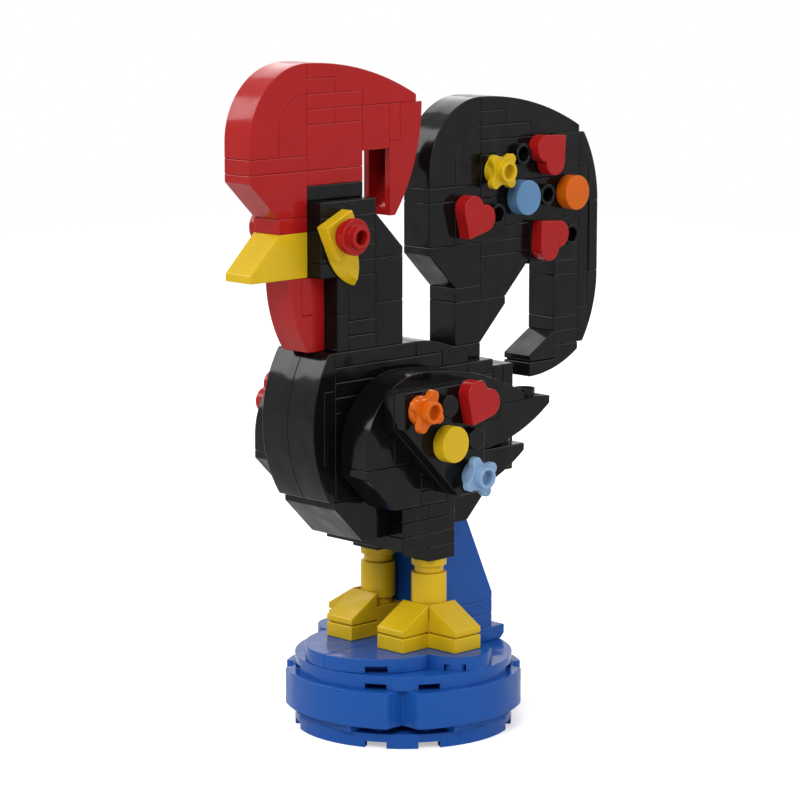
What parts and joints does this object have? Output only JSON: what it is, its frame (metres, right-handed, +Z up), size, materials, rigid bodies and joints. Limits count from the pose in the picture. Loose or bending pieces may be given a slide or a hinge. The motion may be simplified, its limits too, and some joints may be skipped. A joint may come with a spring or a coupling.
{
  "type": "brick-built rooster figurine",
  "caption": "Stylised rooster of stacked studded bricks, with tall comb, arched tail and turning heart, flower and disc ornaments, on a round base.",
  "frame": {"origin": "centre of the round base's underside, on the ground", "axes": "+Z up; the rooster's beak points along -X and its tail along +X; +Y is its far side, and its bricks straddle the XZ plane"},
  "size_m": [0.1064, 0.058, 0.1472],
  "materials": {
    "black": "glossy moulded plastic, black",
    "red": "glossy moulded plastic, red",
    "yellow": "glossy moulded plastic, yellow",
    "blue": "glossy moulded plastic, blue",
    "orange": "glossy moulded plastic, orange",
    "light_blue": "glossy moulded plastic, light blue"
  },
  "bodies": {
    "root": {"base_bottom_plate": "blue", "base_core": "blue", "base_panels": "blue", "base_top_plate": "blue", "step_plates": "blue", "rear_support": "blue", "foot_plates": "yellow", "toe_slopes": "yellow", "leg_rounds": "yellow", "beak": "yellow", "belly_plates": "black", "belly_slopes": "black", "body_bricks": "black", "back_plates": "black", "back_curved_slope": "black", "body_side_plates": "black", "chest_curved_slopes": "black", "wing_brackets": "black", "neck_bricks": "black", "neck_plates": "black", "wattle": "red", "comb_bricks": "red", "comb_inverted_slope": "red", "comb_arch": "red", "comb_curved_slopes": "red", "tail_bricks": "black", "tail_plates": "black", "tail_inverted_slopes": "black", "tail_arch": "black", "tail_side_plates": "black", "tail_curved_slopes": "black", "wing_arches": "black", "wing_curved_slopes": "black", "wing_bricks": "black", "wing_feathers": "black", "wing_panels": "black"},
    "near_tail_flower": {"near_tail_flower": "yellow"},
    "near_tail_heart_upper": {"near_tail_heart_upper": "red"},
    "near_tail_heart_front": {"near_tail_heart_front": "red"},
    "near_tail_heart_lower": {"near_tail_heart_lower": "red"},
    "near_tail_tile_middle": {"near_tail_tile_middle": "light_blue"},
    "near_tail_tile_rear": {"near_tail_tile_rear": "orange"},
    "near_wing_flower_upper": {"near_wing_flower_upper": "orange"},
    "near_wing_heart": {"near_wing_heart": "red"},
    "near_wing_tile": {"near_wing_tile": "yellow"},
    "near_wing_flower_lower": {"near_wing_flower_lower": "light_blue"},
    "near_eye_leaf": {"near_eye_leaf": "yellow"},
    "near_eye_disc": {"near_eye_disc": "red"},
    "far_tail_flower": {"far_tail_flower": "yellow"},
    "far_tail_heart_upper": {"far_tail_heart_upper": "red"},
    "far_tail_heart_front": {"far_tail_heart_front": "red"},
    "far_tail_heart_lower": {"far_tail_heart_lower": "red"},
    "far_tail_tile_middle": {"far_tail_tile_middle": "light_blue"},
    "far_tail_tile_rear": {"far_tail_tile_rear": "orange"},
    "far_wing_flower_upper": {"far_wing_flower_upper": "orange"},
    "far_wing_heart": {"far_wing_heart": "red"},
    "far_wing_tile": {"far_wing_tile": "yellow"},
    "far_wing_flower_lower": {"far_wing_flower_lower": "light_blue"},
    "far_eye_leaf": {"far_eye_leaf": "yellow"},
    "far_eye_disc": {"far_eye_disc": "red"}
  },
  "joints": [
    {"name": "near_tail_flower_turn", "type": "hinge", "parent": "root", "child": "near_tail_flower", "pos_m": [0.024, -0.004, 0.1211], "axis": [0, -1, 0], "continuous": true},
    {"name": "near_tail_heart_upper_turn", "type": "hinge", "parent": "root", "child": "near_tail_heart_upper", "pos_m": [0.04, -0.004, 0.1243], "axis": [0, -1, 0], "continuous": true},
    {"name": "near_tail_heart_front_turn", "type": "hinge", "parent": "root", "child": "near_tail_heart_front", "pos_m": [0.016, -0.004, 0.1115], "axis": [0, -1, 0], "continuous": true},
    {"name": "near_tail_heart_lower_turn", "type": "hinge", "parent": "root", "child": "near_tail_heart_lower", "pos_m": [0.04, -0.004, 0.1051], "axis": [0, -1, 0], "continuous": true},
    {"name": "near_tail_tile_middle_turn", "type": "hinge", "parent": "root", "child": "near_tail_tile_middle", "pos_m": [0.032, -0.004, 0.1147], "axis": [0, -1, 0], "continuous": true},
    {"name": "near_tail_tile_rear_turn", "type": "hinge", "parent": "root", "child": "near_tail_tile_rear", "pos_m": [0.048, -0.004, 0.1147], "axis": [0, -1, 0], "continuous": true},
    {"name": "near_wing_flower_upper_turn", "type": "hinge", "parent": "root", "child": "near_wing_flower_upper", "pos_m": [-0.0192, -0.024, 0.0752], "axis": [0, -1, 0], "continuous": true},
    {"name": "near_wing_heart_turn", "type": "hinge", "parent": "root", "child": "near_wing_heart", "pos_m": [-0.0032, -0.024, 0.0752], "axis": [0, -1, 0], "continuous": true},
    {"name": "near_wing_tile_turn", "type": "hinge", "parent": "root", "child": "near_wing_tile", "pos_m": [-0.0112, -0.024, 0.0672], "axis": [0, -1, 0], "continuous": true},
    {"name": "near_wing_flower_lower_turn", "type": "hinge", "parent": "root", "child": "near_wing_flower_lower", "pos_m": [-0.0032, -0.024, 0.0592], "axis": [0, -1, 0], "continuous": true},
    {"name": "near_eye_leaf_turn", "type": "hinge", "parent": "root", "child": "near_eye_leaf", "pos_m": [-0.028, -0.008, 0.1115], "axis": [0, -1, 0], "continuous": true},
    {"name": "near_eye_disc_turn", "type": "hinge", "parent": "near_eye_leaf", "child": "near_eye_disc", "pos_m": [-0.028, -0.0113, 0.1115], "axis": [0, -1, 0], "continuous": true},
    {"name": "far_tail_flower_turn", "type": "hinge", "parent": "root", "child": "far_tail_flower", "pos_m": [0.024, 0.004, 0.1211], "axis": [0, 1, 0], "continuous": true},
    {"name": "far_tail_heart_upper_turn", "type": "hinge", "parent": "root", "child": "far_tail_heart_upper", "pos_m": [0.04, 0.004, 0.1243], "axis": [0, 1, 0], "continuous": true},
    {"name": "far_tail_heart_front_turn", "type": "hinge", "parent": "root", "child": "far_tail_heart_front", "pos_m": [0.016, 0.004, 0.1115], "axis": [0, 1, 0], "continuous": true},
    {"name": "far_tail_heart_lower_turn", "type": "hinge", "parent": "root", "child": "far_tail_heart_lower", "pos_m": [0.04, 0.004, 0.1051], "axis": [0, 1, 0], "continuous": true},
    {"name": "far_tail_tile_middle_turn", "type": "hinge", "parent": "root", "child": "far_tail_tile_middle", "pos_m": [0.032, 0.004, 0.1147], "axis": [0, 1, 0], "continuous": true},
    {"name": "far_tail_tile_rear_turn", "type": "hinge", "parent": "root", "child": "far_tail_tile_rear", "pos_m": [0.048, 0.004, 0.1147], "axis": [0, 1, 0], "continuous": true},
    {"name": "far_wing_flower_upper_turn", "type": "hinge", "parent": "root", "child": "far_wing_flower_upper", "pos_m": [0.002, 0.024, 0.072], "axis": [0, 1, 0], "continuous": true},
    {"name": "far_wing_heart_turn", "type": "hinge", "parent": "root", "child": "far_wing_heart", "pos_m": [-0.014, 0.024, 0.072], "axis": [0, 1, 0], "continuous": true},
    {"name": "far_wing_tile_turn", "type": "hinge", "parent": "root", "child": "far_wing_tile", "pos_m": [-0.006, 0.024, 0.064], "axis": [0, 1, 0], "continuous": true},
    {"name": "far_wing_flower_lower_turn", "type": "hinge", "parent": "root", "child": "far_wing_flower_lower", "pos_m": [0.002, 0.024, 0.056], "axis": [0, 1, 0], "continuous": true},
    {"name": "far_eye_leaf_turn", "type": "hinge", "parent": "root", "child": "far_eye_leaf", "pos_m": [-0.028, 0.008, 0.1115], "axis": [0, 1, 0], "continuous": true},
    {"name": "far_eye_disc_turn", "type": "hinge", "parent": "far_eye_leaf", "child": "far_eye_disc", "pos_m": [-0.028, 0.0113, 0.1115], "axis": [0, 1, 0], "continuous": true}
  ]
}
